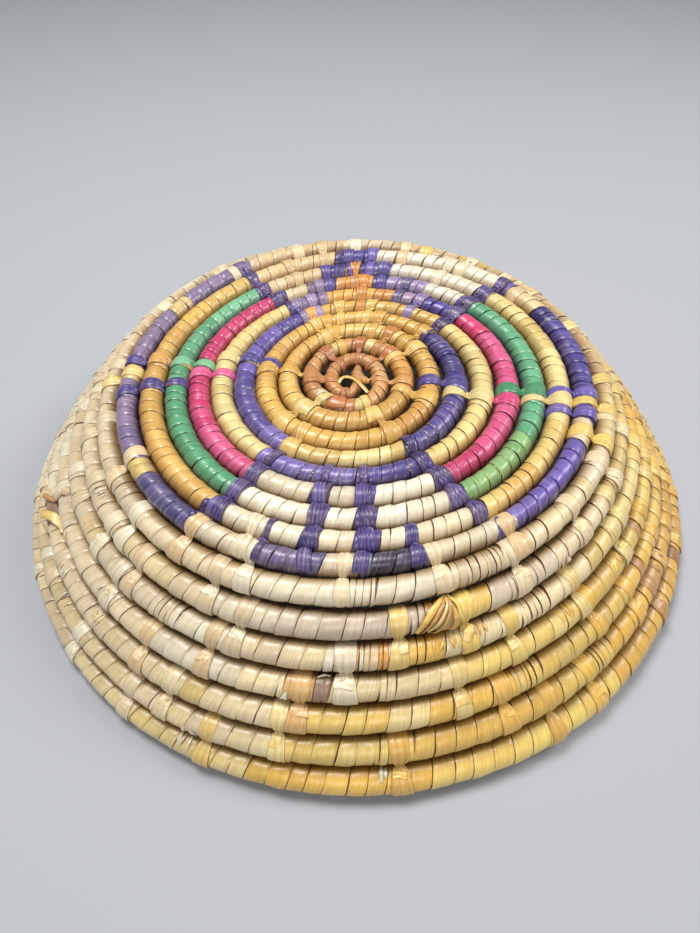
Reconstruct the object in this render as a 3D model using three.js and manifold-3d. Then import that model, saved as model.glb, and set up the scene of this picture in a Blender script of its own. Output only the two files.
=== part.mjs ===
// A coiled bowl basket, standing mouth down on its rim. Millimetres, +Z up, the front at -Y.
// One long bundle of stems winds out from the middle of the base and down the wall to the rim.
// Strips of leaf wrap the bundle in runs of one colour. The runs' long stitches reach over the
// turn before and tie the two together.
import * as THREE from "three";
import { mergeVertices } from "three/addons/utils/BufferGeometryUtils.js";
import Module from "manifold-3d";

const wasm = await Module();
wasm.setup();

// Turns are counted from the middle: a whole number of turns lies at the left, and the coil runs on
// over the back, the right and the front.
const FIRST_TURN = 0.55;
const LAST_TURN = 17.05;
const STEPS_PER_TURN = 20;
const SIDES = 6;

// Spacing from one turn to the next, along the basket's profile.
const SPACING_AT_CENTRE = 10.0;
const SPACING_AT_RIM = 13.9;
const FIRST_DISTANCE = 1.05;

// The profile is three arcs in a row. A slope is in degrees, and positive where it rises outwards.
const BASE_LENGTH = 104.6;
const BASE_EDGE_SLOPE = 3.2;
const HEEL_LENGTH = 16.4;
const WALL_TOP_SLOPE = -47.7;
const RIM_SLOPE = -54.7;

// The coil starts a little beside the middle of the rim, and comes back to it on the way down.
const START_OFFSET_X = -3.0;
const START_OFFSET_Y = -1.2;

// The turns settle, from a spiral, into level rounds. Each then steps down within a short stretch
// at the back, and the last one lies level on its rim.
const SETTLE_FROM_TURN = 9;
const SETTLE_TURNS = 7;
const STEP_LENGTH = 0.2;

// The wrapped coil's section is a hexagon with its tips towards the neighbouring turns. Its width
// from tip to tip and its depth through the basket's wall are shares of the spacing.
const COIL_WIDTH_SHARE = 0.86;
const COIL_DEPTH_SHARE = 0.92;
const WRAP_THICKNESS = 1.5;
const CORE_CLEARANCE = 0.3;
const RUN_GAP = 0.3;
const CORE_END_LENGTH = 1.5;

// The bundle thins out at both ends.
const START_TAPER_TURNS = 0.5;
const START_TAPER = 0.7;
const END_TAPER_TURNS = 0.05;
const END_TAPER = 0.55;

// A tie is a flat strap round the turn before, fused to the wrapping of its own turn.
const TIE_EVERY_STEPS = 6;
const TIE_WIDTH = 6.5;
const TIE_MAX_SHARE_OF_STEP = 0.55;
const TIE_THICKNESS = 0.5;
const TIE_CLEARANCE = 0.3;
const FIRST_TIE_TURN = 1.8;

// The rim is cut flat where it stands, by this share of the coil's thickness.
const REST_CUT_SHARE = 0.1;

const LEAST_TURN_GAP = 0.4;

const COLOURS = {
  caramel: 0xb9764a,
  honey: 0xdda64a,
  yellow: 0xe2c878,
  purple: 0x4b4180,
  pink: 0xd23a70,
  green: 0x3f9c74,
  natural: 0xdcc592,
  stems: 0xb89a62,
};

// The runs of the wrapping, in their order along the coil: a round, and for each run its place and
// colour, and the angle where it ends. Angles are seen from above, from the front to the right.
// A round passes the back, the right, the front and the left, and ends at the back left.
const ROUND_END_ANGLE = -135;
const RUNS = [
  { round: 2, runs: [["start_caramel", ROUND_END_ANGLE]] },
  { round: 3, runs: [["honey", ROUND_END_ANGLE]] },
  { round: 4, runs: [["honey", ROUND_END_ANGLE]] },
  {
    round: 5,
    runs: [["back_honey", 127], ["right_purple", 24], ["front_honey", -32], ["left_purple", -152]],
  },
  {
    round: 6,
    runs: [["back_honey", 128], ["right_yellow", 27], ["front_purple", -37], ["left_yellow", -147]],
  },
  {
    round: 7,
    runs: [
      ["back_left_purple", 193], ["back_honey", 153], ["back_right_purple", 129],
      ["right_pink", 32], ["front_natural", -37], ["left_pink", -141],
    ],
  },
  {
    round: 8,
    runs: [
      ["back_left_natural", 198], ["back_left_purple", 186], ["back_honey", 170],
      ["back_right_purple", 148], ["back_right_natural", 129],
      ["right_green", 30], ["front_natural", -37], ["left_green", -139],
    ],
  },
  {
    round: 9,
    runs: [
      ["back_left_natural", 191], ["back_purple", 165], ["back_right_natural", 126],
      ["right_yellow", 30], ["front_natural", -37], ["left_honey", -141],
    ],
  },
  {
    round: 10,
    runs: [
      ["back_left_natural", 186], ["back_purple", 172], ["back_right_natural", 117],
      ["right_purple", 30], ["front_right_natural", 13], ["front_purple", -20],
      ["front_left_natural", -36], ["left_purple", -147],
    ],
  },
  { round: 11, runs: [["natural", ROUND_END_ANGLE]] },
  { round: 12, runs: [["natural", ROUND_END_ANGLE]] },
  { round: 13, runs: [["natural", ROUND_END_ANGLE]] },
  { round: 14, runs: [["natural", ROUND_END_ANGLE]] },
  { round: 15, runs: [["natural", ROUND_END_ANGLE]] },
  { round: 16, runs: [["natural", ROUND_END_ANGLE]] },
  { round: 17, runs: [["rim_natural", null]] },
];

const radians = THREE.MathUtils.degToRad;

function spacingAt(turn) {
  return THREE.MathUtils.lerp(SPACING_AT_CENTRE, SPACING_AT_RIM, turn / LAST_TURN);
}

function distanceAt(turn) {
  return FIRST_DISTANCE + turn * (SPACING_AT_CENTRE + spacingAt(turn)) / 2;
}

// Moves a turn along the profile so that the wall's rounds come out level.
function settledTurn(turn) {
  const sinceStep = THREE.MathUtils.euclideanModulo(turn - LAST_TURN, 1);
  const amount = THREE.MathUtils.clamp((turn - SETTLE_FROM_TURN) / SETTLE_TURNS, 0, 1);
  const stepped = THREE.MathUtils.smoothstep(sinceStep, 0, STEP_LENGTH);
  return turn + amount * (stepped - sinceStep - (1 - STEP_LENGTH) / 2);
}

const RIM_TURN = LAST_TURN - (1 - STEP_LENGTH) / 2;
const WALL_LENGTH = distanceAt(RIM_TURN) - BASE_LENGTH - HEEL_LENGTH;
const PROFILE = [
  { length: BASE_LENGTH, from: 0, to: radians(BASE_EDGE_SLOPE) },
  { length: HEEL_LENGTH, from: radians(BASE_EDGE_SLOPE), to: radians(WALL_TOP_SLOPE) },
  { length: WALL_LENGTH, from: radians(WALL_TOP_SLOPE), to: radians(RIM_SLOPE) },
];

// Radius, height and slope at a distance along the profile.
function profileAt(distance) {
  const point = { radius: 0, height: 0, slope: 0 };
  let left = distance;
  for (const arc of PROFILE) {
    if (left <= 0) {
      break;
    }
    const length = Math.min(left, arc.length);
    const bend = (arc.to - arc.from) * length / arc.length;
    const direction = arc.from + bend / 2;
    const chord = bend === 0 ? length : length * Math.sin(bend / 2) / (bend / 2);
    point.radius += chord * Math.cos(direction);
    point.height += chord * Math.sin(direction);
    point.slope = arc.from + bend;
    left -= length;
  }
  return point;
}

function taperAt(turn) {
  const start = THREE.MathUtils.smoothstep(turn, FIRST_TURN, FIRST_TURN + START_TAPER_TURNS);
  const end = THREE.MathUtils.smoothstep(turn, LAST_TURN - END_TAPER_TURNS, LAST_TURN);
  return {
    start: THREE.MathUtils.lerp(START_TAPER, 1, start),
    end: THREE.MathUtils.lerp(1, END_TAPER, end),
  };
}

// The coil's section at a turn, in the basket's profile: its middle, the slope towards the next turn,
// and its size. A thinned end stays against its neighbour.
function sectionAt(turn) {
  const settled = settledTurn(turn);
  const place = profileAt(distanceAt(settled));
  const spacing = spacingAt(settled);
  const taper = taperAt(turn);
  const thinning = taper.start * taper.end;
  const shift = spacing * COIL_WIDTH_SHARE / 2 * (taper.end - taper.start);
  return {
    radius: place.radius + shift * Math.cos(place.slope),
    height: place.height + shift * Math.sin(place.slope),
    slope: place.slope,
    halfWidth: spacing * COIL_WIDTH_SHARE / 2 * thinning,
    halfDepth: spacing * COIL_DEPTH_SHARE / 2 * thinning,
  };
}

// The hexagon's corners in the profile, moved outwards by an even outset. They start at the tip
// towards the next turn, and the second and third lie on the outside of the basket.
function sectionCorners(section, outset) {
  const lean = section.halfWidth / (2 * section.halfDepth);
  const tip = section.halfWidth + outset * Math.hypot(1, lean);
  const depth = section.halfDepth + outset;
  const shoulder = tip - lean * depth;
  const outline = [
    [tip, 0], [shoulder, depth], [-shoulder, depth],
    [-tip, 0], [-shoulder, -depth], [shoulder, -depth],
  ];
  const cos = Math.cos(section.slope);
  const sin = Math.sin(section.slope);
  return outline.map(([along, out]) => ({
    radius: section.radius + along * cos - out * sin,
    height: section.height + along * sin + out * cos,
  }));
}

// The floor lies a little above the rim's lowest corner, where the rim is cut flat.
function floorHeight() {
  const section = sectionAt(LAST_TURN - END_TAPER_TURNS);
  const lowest = Math.min(...sectionCorners(section, 0).map((corner) => corner.height));
  return lowest + REST_CUT_SHARE * 2 * section.halfWidth;
}

const FLOOR_HEIGHT = floorHeight();

function angleOfTurn(turn) {
  return -2 * Math.PI * (turn + 0.25);
}

function turnOfAngle(round, degrees) {
  return round - (degrees + 90) / 360;
}

// The section's corners in space at one of the coil's steps.
function cornersAtStep(step, outset) {
  const turn = step / STEPS_PER_TURN;
  const angle = angleOfTurn(turn);
  const offset = 1 - turn / LAST_TURN;
  return sectionCorners(sectionAt(turn), outset).map((corner) => new THREE.Vector3(
    START_OFFSET_X * offset + corner.radius * Math.sin(angle),
    START_OFFSET_Y * offset - corner.radius * Math.cos(angle),
    corner.height - FLOOR_HEIGHT,
  ));
}

// The same at any turn: between two steps the coil is straight.
function cornersAt(turn, outset) {
  const position = turn * STEPS_PER_TURN;
  const step = Math.floor(position + 1e-6);
  const share = Math.max(0, position - step);
  const before = cornersAtStep(step, outset);
  if (share === 0) {
    return before;
  }
  const after = cornersAtStep(step + 1, outset);
  return before.map((corner, index) => corner.clone().lerp(after[index], share));
}

// Turns at which a stretch of the coil has a ring of corners: its ends, and the steps between them.
function ringTurns(from, to) {
  const turns = [from];
  const lastStep = Math.ceil(to * STEPS_PER_TURN - 0.01) - 1;
  for (let step = Math.floor(from * STEPS_PER_TURN + 0.01) + 1; step <= lastStep; step += 1) {
    turns.push(step / STEPS_PER_TURN);
  }
  turns.push(to);
  return turns;
}

// A tube from rings of corners. With inner rings it is a sleeve, open at both ends.
function tube(outerRings, innerRings) {
  const positions = [];
  const indices = [];
  const count = outerRings.length;
  const innerStart = count * SIDES;
  for (const ring of innerRings ? [...outerRings, ...innerRings] : outerRings) {
    for (const corner of ring) {
      positions.push(corner.x, corner.y, corner.z);
    }
  }
  const quad = (a, b, c, d) => indices.push(a, b, c, a, c, d);
  for (let side = 0; side < SIDES; side += 1) {
    const next = (side + 1) % SIDES;
    for (let ring = 0; ring < count - 1; ring += 1) {
      const here = ring * SIDES;
      const there = here + SIDES;
      quad(here + side, here + next, there + next, there + side);
      if (innerRings) {
        quad(innerStart + here + next, innerStart + here + side, innerStart + there + side,
          innerStart + there + next);
      }
    }
    if (innerRings) {
      const last = (count - 1) * SIDES;
      quad(side, innerStart + side, innerStart + next, next);
      quad(last + next, innerStart + last + next, innerStart + last + side, last + side);
    }
  }
  if (!innerRings) {
    const last = (count - 1) * SIDES;
    for (let side = 1; side < SIDES - 1; side += 1) {
      indices.push(0, side + 1, side);
      indices.push(last, last + side, last + side + 1);
    }
  }
  const geometry = new THREE.BufferGeometry();
  geometry.setAttribute("position", new THREE.Float32BufferAttribute(positions, 3));
  geometry.setIndex(indices);
  return geometry;
}

function toSolid(geometry) {
  const bare = geometry.clone();
  bare.deleteAttribute("normal");
  bare.deleteAttribute("uv");
  const merged = mergeVertices(bare, 1e-5);
  return new wasm.Manifold(new wasm.Mesh({
    numProp: 3,
    vertProperties: new Float32Array(merged.attributes.position.array),
    triVerts: new Uint32Array(merged.index.array),
  }));
}

function fromSolid(solid) {
  const mesh = solid.getMesh();
  const geometry = new THREE.BufferGeometry();
  geometry.setAttribute("position", new THREE.BufferAttribute(mesh.vertProperties, 3));
  geometry.setIndex(new THREE.BufferAttribute(mesh.triVerts, 1));
  return geometry;
}

// The strap round the turn before, between two turns of its own coil. It narrows towards its own
// coil, and ends inside that coil's wrapping.
function tieSolid(from, to) {
  const outerRings = [];
  const innerRings = [];
  for (const turn of [from, to]) {
    const outer = cornersAt(turn - 1, TIE_CLEARANCE + TIE_THICKNESS);
    outer[0] = cornersAt(turn, -WRAP_THICKNESS / 2)[3];
    outerRings.push(outer);
    innerRings.push(cornersAt(turn - 1, TIE_CLEARANCE));
  }
  return toSolid(tube(outerRings, innerRings));
}

// Where a run carries ties: in the middle of whole steps, counted back from the coil's end.
function tieSpans(from, to) {
  const spans = [];
  const lastStep = Math.round(LAST_TURN * STEPS_PER_TURN) - 1;
  const firstStep = Math.ceil(Math.max(from, FIRST_TIE_TURN) * STEPS_PER_TURN);
  for (let step = firstStep; step + 1 <= to * STEPS_PER_TURN + 0.01; step += 1) {
    if ((lastStep - step) % TIE_EVERY_STEPS === 0) {
      const middle = (step + 0.5) / STEPS_PER_TURN;
      const radius = sectionAt(middle).radius;
      const turnLength = 2 * Math.PI * radius;
      const width = Math.min(TIE_WIDTH / turnLength, TIE_MAX_SHARE_OF_STEP / STEPS_PER_TURN);
      spans.push([middle - width / 2, middle + width / 2]);
    }
  }
  return spans;
}

// What lies under the floor is cut off, so that the rim stands on flat faces.
function floorCutter() {
  const reach = 4 * profileAt(distanceAt(RIM_TURN)).radius;
  const box = new THREE.BoxGeometry(reach, reach, reach);
  box.translate(0, 0, -reach / 2);
  return toSolid(box);
}

function wrapGeometry(from, to) {
  const turns = ringTurns(from, to);
  const sleeve = tube(
    turns.map((turn) => cornersAt(turn, 0)),
    turns.map((turn) => cornersAt(turn, -WRAP_THICKNESS)),
  );
  let solid = toSolid(sleeve);
  for (const [tieFrom, tieTo] of tieSpans(from, to)) {
    solid = solid.add(tieSolid(tieFrom, tieTo));
  }
  if (solid.boundingBox().min[2] < 0) {
    solid = solid.subtract(floorCutter());
  }
  return fromSolid(solid);
}

function coreGeometry() {
  const endLength = CORE_END_LENGTH / (2 * Math.PI * sectionAt(LAST_TURN).radius);
  const turns = ringTurns(FIRST_TURN, LAST_TURN - endLength);
  return tube(turns.map((turn) => cornersAt(turn, -WRAP_THICKNESS - CORE_CLEARANCE)), null);
}

// The least distance between the facing tips of the wrapped coil on neighbouring turns.
function leastTurnGap() {
  const firstStep = Math.ceil((FIRST_TURN + 1) * STEPS_PER_TURN);
  const lastStep = LAST_TURN * STEPS_PER_TURN;
  let least = Infinity;
  for (let step = firstStep; step <= lastStep; step += 1) {
    const own = cornersAtStep(step, 0)[3];
    const before = cornersAtStep(step - STEPS_PER_TURN, 0)[0];
    least = Math.min(least, own.distanceTo(before));
  }
  return least;
}

function material(colour) {
  return new THREE.MeshStandardMaterial({ color: COLOURS[colour], roughness: 0.5, metalness: 0 });
}

function namedMesh(name, geometry, colour) {
  geometry.computeVertexNormals();
  const mesh = new THREE.Mesh(geometry, material(colour));
  mesh.name = name;
  return mesh;
}

function addWrapping(group) {
  let from = FIRST_TURN;
  for (const { round, runs } of RUNS) {
    for (const [place, endAngle] of runs) {
      const to = endAngle === null ? LAST_TURN : turnOfAngle(round, endAngle);
      const gap = RUN_GAP / (2 * Math.PI * sectionAt(to).radius);
      const label = String(round).padStart(2, "0");
      const colour = place.split("_").at(-1);
      group.add(namedMesh(`round_${label}_${place}`, wrapGeometry(from, to), colour));
      from = to + gap;
    }
  }
}

const group = new THREE.Group();
group.name = "woven_basket";
group.add(namedMesh("core_coil", coreGeometry(), "stems"));
addWrapping(group);

const gap = leastTurnGap();
console.log(`least gap between turns of the coil: ${gap.toFixed(2)} mm`);
if (gap < LEAST_TURN_GAP) {
  console.warn(`the turns are closer than ${LEAST_TURN_GAP} mm`);
}

export default group;
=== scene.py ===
"""The looks of a coiled palm leaf basket that lies mouth down.

One core bundle winds out in a spiral. Leaf strips are wound round it, wrap beside wrap, and long
stitches go from each round over the one before it. Every wrap and every stitch here is a strip of its
own, on the same spiral as the CAD solids. All lengths in the coil's formulas are metres.
"""
import math

import bpy
import numpy as np
from mathutils import Matrix, Vector


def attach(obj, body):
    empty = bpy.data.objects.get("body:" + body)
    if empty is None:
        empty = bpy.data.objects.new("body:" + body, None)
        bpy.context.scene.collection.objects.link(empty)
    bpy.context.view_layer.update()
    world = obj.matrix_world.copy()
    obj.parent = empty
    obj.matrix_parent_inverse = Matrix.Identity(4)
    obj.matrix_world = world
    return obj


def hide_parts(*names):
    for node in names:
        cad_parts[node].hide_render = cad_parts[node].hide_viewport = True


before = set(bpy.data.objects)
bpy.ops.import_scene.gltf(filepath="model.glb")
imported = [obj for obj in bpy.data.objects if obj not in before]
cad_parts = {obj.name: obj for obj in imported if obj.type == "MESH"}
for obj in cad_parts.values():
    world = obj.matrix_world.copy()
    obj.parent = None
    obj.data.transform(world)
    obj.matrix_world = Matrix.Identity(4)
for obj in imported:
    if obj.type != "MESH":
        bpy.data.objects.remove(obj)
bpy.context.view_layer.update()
rng = np.random.default_rng(20)

# ---- camera and view

PITCH = math.radians(49.5587)
ROLL = math.radians(0.7038)
FOCAL_PIXELS = 659.54
IMAGE_HEIGHT = 933
SENSOR_HEIGHT = 36
CAMERA_PLACE = (-0.00348, -0.24417, 0.2878)

forward = Vector((0, math.cos(PITCH), -math.sin(PITCH)))
level_right = Vector((1, 0, 0))
level_up = level_right.cross(forward)
right = math.cos(ROLL) * level_right + math.sin(ROLL) * level_up
up = -math.sin(ROLL) * level_right + math.cos(ROLL) * level_up

camera = bpy.data.objects.new("camera", bpy.data.cameras.new("camera"))
camera.data.sensor_width = SENSOR_HEIGHT        # the long side, which is upright here
camera.data.lens = FOCAL_PIXELS * SENSOR_HEIGHT / IMAGE_HEIGHT
camera.data.clip_start = 0.01
turned = Matrix((right, up, -forward)).transposed().to_4x4()
camera.matrix_world = Matrix.Translation(CAMERA_PLACE) @ turned
bpy.context.scene.collection.objects.link(camera)
bpy.context.scene.camera = camera
bpy.context.scene.view_settings.view_transform = "Standard"

# ---- the coil, as the source has it

# The turns at which the coil starts and ends. The CAD's starts a little further out, at 0.55.
VISIBLE_START, LAST_TURN = 0.42, 17.05
# The first two turns aren't quite a spiral: turn, and how far the coil's centre is off, in mm.
HAND_SHIFT = np.array([
    (0.40, -1.6, 6.8), (0.50, -3.6, 4.7), (0.58, -3.7, 3.1), (0.66, -2.2, 0.7), (0.75, -1.1, -2.6),
    (0.85, 0.0, -3.4), (0.93, 0.8, -3.2), (1.0, 1.0, -3.4), (1.1, 1.4, -1.0), (1.25, 0.5, 0.0),
    (1.5, -2.8, -0.4), (1.75, 0.0, -1.6), (2.0, 0.9, -1.4), (2.25, 0.0, 0.0), (2.5, -2.0, 0.0),
    (2.75, -0.8, 0.3), (3.0, 0.0, 0.0), (3.5, -0.6, 0.0), (4.0, 0.0, 0.0), (18.0, 0.0, 0.0)])
# How far the rounds stray from an even spiral along the bowl's profile: turn, then in mm the mean, and
# the shares of cos, sin, cos 2 and sin 2 of the angle from the front.
STRAY = np.array([
    (0.0, 0, 0, 0, 0, 0), (1.5, 0, 0, 0, 0, 0), (4.0, 1.01, 2.06, 0.72, 1.03, -1.51),
    (6.0, 0.25, 2.99, 0.64, -0.40, -1.64), (9.0, -0.79, 2.83, 1.30, -0.47, -2.51),
    (10.5, -1.84, 0.85, 0.63, -0.90, -3.02), (12.0, -1.89, 0.41, -1.67, -0.29, -2.12),
    (14.0, -1.1, 0.3, -2.9, -0.9, -1.95), (16.0, -0.5, 0.4, -2.8, -0.9, -1.5), (17.5, 0, 0, 0, 0, 0),
    (18.6, 0, 0, 0, 0, 0)])
# Half the wrapped coil's width near the centre: turn, mm.
START_HALF = np.array([(0.40, 1.3), (0.46, 2.3), (0.52, 3.1), (0.60, 3.6), (0.75, 3.7), (1.0, 3.8),
                       (1.25, 3.9), (1.5, 4.1), (1.75, 4.4), (2.0, 4.4), (2.25, 4.5), (2.5, 4.9),
                       (2.75, 5.0), (3.0, 5.05), (3.5, 5.2), (4.0, 5.28)])
SPACING_AT_CENTRE, SPACING_AT_RIM = 0.0100, 0.0139
FIRST_DISTANCE = 0.00105
BASE_LENGTH, BASE_EDGE_SLOPE = 0.1046, math.radians(3.2)
HEEL_LENGTH, WALL_TOP_SLOPE = 0.0164, math.radians(-47.7)
RIM_SLOPE = math.radians(-54.7)
START_OFFSET = (-0.0030, -0.0012)
SETTLE_FROM_TURN, SETTLE_TURNS, STEP_LENGTH = 9, 7, 0.2
RIM_CENTRE_HEIGHT = 0.00485
# The rim round lies on the floor: from which turn, over how many turns, and the height of its centre as a
# share of the rounds' spacing, less a little that it sinks in.
RIM_LEVEL_TURN, RIM_LEVEL_TURNS, RIM_REST_SHARE, RIM_SINK = 16.12, 0.14, 0.442, 0.0002
# Half the wrapped coil's width as a share of the spacing, and by how much less it is on the wall.
HALF_SHARE, WALL_LESS = 0.480, 0.033
# The wide dark groove on the left, between rounds 10 and 11: turn, and how much thinner the coil is there.
LEFT_GROOVE, LEFT_GROOVE_TURNS = ((9.99, 0.13), (10.98, 0.11)), 0.11
# The coil's lumps: how high, as a share of its size, how many radians a metre, and where they start.
LUMPS = ((0.009, 203, 1), (0.008, 76, 2), (0.006, 331, 4))


def smoothstep(x):
    x = np.clip(x, 0, 1)
    return x * x * (3 - 2 * x)


def smooth_path(knots, values, x):
    """A cubic through the values, its slopes taken from their neighbours."""
    knots, values = np.asarray(knots, float), np.asarray(values, float)
    slopes = np.gradient(values, knots)
    i = np.clip(np.searchsorted(knots, x, side="right") - 1, 0, len(knots) - 2)
    h = knots[i + 1] - knots[i]
    f = (x - knots[i]) / h
    return ((2 * f ** 3 - 3 * f ** 2 + 1) * values[i] + (f ** 3 - 2 * f ** 2 + f) * h * slopes[i]
            + (-2 * f ** 3 + 3 * f ** 2) * values[i + 1] + (f ** 3 - f ** 2) * h * slopes[i + 1])


def way_along(points):
    """The length of a path at each of its points."""
    return np.concatenate([[0], np.cumsum(np.linalg.norm(np.diff(points, axis=0), axis=1))])


def square_to(line, vectors):
    """The parts of the vectors that are square to a line, one unit long."""
    vectors = vectors - line * np.sum(vectors * line, -1, keepdims=True)
    return vectors / np.linalg.norm(vectors, axis=-1, keepdims=True)


def spacing_at(t):
    return SPACING_AT_CENTRE + (SPACING_AT_RIM - SPACING_AT_CENTRE) * t / LAST_TURN


def distance_at(t):
    return FIRST_DISTANCE + t * (SPACING_AT_CENTRE + spacing_at(t)) / 2


def settled_turn(t):
    """The last rounds step down once a turn and run level between the steps."""
    since = np.mod(t - LAST_TURN, 1)
    amount = np.clip((t - SETTLE_FROM_TURN) / SETTLE_TURNS, 0, 1)
    return t + amount * (smoothstep(since / STEP_LENGTH) - since - (1 - STEP_LENGTH) / 2)


WALL_LENGTH = distance_at(LAST_TURN - (1 - STEP_LENGTH) / 2) - BASE_LENGTH - HEEL_LENGTH
ARCS = ((BASE_LENGTH, 0, BASE_EDGE_SLOPE), (HEEL_LENGTH, BASE_EDGE_SLOPE, WALL_TOP_SLOPE),
        (WALL_LENGTH, WALL_TOP_SLOPE, RIM_SLOPE))


def profile_at(distance):
    """Radius, height and slope at a distance along the bowl's profile."""
    left = np.array(distance, float)
    radius, height, slope = np.zeros_like(left), np.zeros_like(left), np.zeros_like(left)
    for i, (arc, start, end) in enumerate(ARCS):
        part = np.clip(left, 0, arc if i < 2 else None)     # the last arc runs on past its end
        bend = (end - start) * part / arc
        chord = part * np.sinc(bend / 2 / np.pi)
        radius += chord * np.cos(start + bend / 2)
        height += chord * np.sin(start + bend / 2)
        slope = np.where(left > 0, start + bend, slope)
        left = left - part
    return radius, height, slope


RIM_HEIGHT = profile_at(distance_at(settled_turn(np.array([17.0]))))[1][0]


def stray_at(t, angle):
    """How far a round is off the even spiral, along the profile: the maker's hand isn't a machine."""
    mean, cos1, sin1, cos2, sin2 = (smooth_path(STRAY[:, 0], STRAY[:, i], np.maximum(t, 0)) / 1000
                                    for i in range(1, 6))
    return mean + cos1 * np.cos(angle) + sin1 * np.sin(angle) + cos2 * np.cos(2 * angle) \
        + sin2 * np.sin(2 * angle)


def coil(t):
    """Centre of the coil, its across and outward directions, and the spacing of the rounds."""
    t = np.asarray(t, float)
    angle = -2 * np.pi * (t + 0.25)
    radius, height, slope = profile_at(distance_at(settled_turn(t)) + stray_at(t, angle))
    spacing = spacing_at(t) + stray_at(t + 0.5, angle) - stray_at(t - 0.5, angle)
    offset = 1 - t / LAST_TURN
    radial = np.stack([np.sin(angle), -np.cos(angle), np.zeros_like(angle)], -1)
    level = smoothstep((t - RIM_LEVEL_TURN) / RIM_LEVEL_TURNS)
    centre = radial * radius[..., None]
    for axis in (0, 1):
        centre[..., axis] += START_OFFSET[axis] * offset
        centre[..., axis] += smooth_path(HAND_SHIFT[:, 0], HAND_SHIFT[:, axis + 1] / 1000, t)
    centre[..., 2] = (height - RIM_HEIGHT + RIM_CENTRE_HEIGHT) * (1 - level) \
        + (RIM_REST_SHARE * spacing - RIM_SINK) * level
    vertical = np.array([0.0, 0.0, 1.0])
    across = radial * np.cos(slope)[..., None] + vertical * np.sin(slope)[..., None]
    out = -radial * np.sin(slope)[..., None] + vertical * np.cos(slope)[..., None]
    return centre, across, out, spacing


def half_sizes(t, spacing):
    """Half the wrapped coil's width and depth, a little uneven as a coil of stems is."""
    near_start = np.interp(t, START_HALF[:, 0], START_HALF[:, 1] / 1000) * spacing / spacing_at(t)
    half = np.where(t < 4, near_start, spacing * (HALF_SHARE - WALL_LESS * smoothstep((t - 9) / 1.5)))
    groove = 1
    for turn, less in LEFT_GROOVE:
        groove = groove - less * np.exp(-((t - turn) / LEFT_GROOVE_TURNS) ** 2)
    lumps = sum(high * np.sin(s_of(t) * often + begin) for high, often, begin in LUMPS)
    half = half * groove * (1 + lumps * smoothstep((t - 3) / 2))
    # The coil's end at the rim is thinned, and so is the rim round a little.
    half = half * (0.6 + 0.4 * smoothstep((LAST_TURN - t) / 0.05))
    half = half * (1 - 0.05 * smoothstep((t - 15.9) / 0.3))
    # Where the rounds lie closer, the coil is squeezed flatter but not thinner.
    even = half * spacing_at(t) / spacing
    return half, (0.6 * half + 0.4 * even) * (0.97 + 0.06 * smoothstep((t - 2) / 3)
                                              + 0.05 * smoothstep((t - 10) / 2))


def on_coil(t, phi, lift=0.0, share=1.0):
    """Points over the wrapped coil, or at a share of its size. phi is in radians."""
    centre, across, out, spacing = coil(t)
    half_width, half_depth = half_sizes(t, spacing)
    return centre + across * ((half_width * share + lift) * np.cos(phi))[..., None] \
        + out * ((half_depth * share + lift) * np.sin(phi))[..., None]


def radius_at(t):
    return np.linalg.norm(coil(np.array([t]))[0][0][:2])


def turn_of(round_number, degrees):
    return round_number - (degrees + 90) / 360


def degrees_of(t):
    return (-(t % 1) * 360 - 90 + 135) % 360 - 135


T_TABLE = np.linspace(VISIBLE_START, LAST_TURN, 24001)
S_TABLE = way_along(coil(T_TABLE)[0])


def s_of(t):
    """The way along the coil, in metres, to turn t. t_of turns it back."""
    return np.interp(t, T_TABLE, S_TABLE)


def t_of(s):
    return np.interp(s, S_TABLE, T_TABLE)


# ---- colours of the wraps

def linear(rgb):
    c = np.asarray(rgb, float)
    return np.where(c <= 0.04045, c / 12.92, ((c + 0.055) / 1.055) ** 2.4)


# Strip colours, in per cent of red, green and blue. Each strip takes one of its palette.
PALETTES = {
    "caramel": "84 58 36, 80 52 32, 88 66 42, 74 47 30",
    "toffee": "88 66 42, 84 60 38, 90 70 46, 81 57 36",
    "amber": "88 66 34, 91 72 38, 83 58 29, 93 77 46",
    "honey": "93 76 40, 91 73 38, 95 81 48, 89 71 39",
    "yellow": "95 86 57, 94 83 51, 96 89 63, 92 80 49",
    "orange": "91 66 32, 88 61 30, 93 72 42",
    "purple": "46 39 71, 38 32 63, 54 47 76, 34 29 57",
    "indigo": "31 26 56, 27 22 48, 38 32 64",
    "dusk": "41 35 60, 35 29 53, 49 43 68",
    "violet": "33 28 52, 28 24 44, 38 31 56",
    "faded": "57 49 63, 50 43 60, 62 54 66, 44 39 56",
    "navy": "36 34 54, 40 37 56, 31 29 46, 44 40 60",
    "lilac": "68 60 74, 62 54 72",
    "pink": "91 33 55, 88 27 49, 93 42 62, 85 26 47",
    "green": "44 73 56, 36 66 49, 53 79 62, 31 60 43",
    "grass": "54 72 46, 48 66 42, 62 78 50, 43 62 38",
    "slate": "28 24 35, 24 21 30, 32 27 42",
    "mauve": "70 57 49, 64 52 45",
    "pale": "98 94 84, 96 91 79, 99 96 88",
    "cream": "97 92 79, 95 88 73, 98 94 83, 94 86 71",
    "sand": "96 89 69, 95 86 65, 97 90 73",
    "straw": "97 86 57, 97 88 62, 95 82 50, 96 84 48",
    "deep": "90 70 36, 86 64 32, 93 76 44",
    "golden": "97 80 40, 95 77 35, 98 85 47, 94 75 37",
    "tan": "94 83 65, 92 80 61, 95 85 69",
    "grey": "90 84 75, 88 81 72, 92 86 76",
    "brown": "80 61 39, 75 55 34, 84 66 43",
    "stained": "90 70 44, 88 74 54, 91 74 48",
}
PALETTES = {name: [tuple(int(v) / 100 for v in colour.split()) for colour in row.split(",")]
            for name, row in PALETTES.items()}
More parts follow.
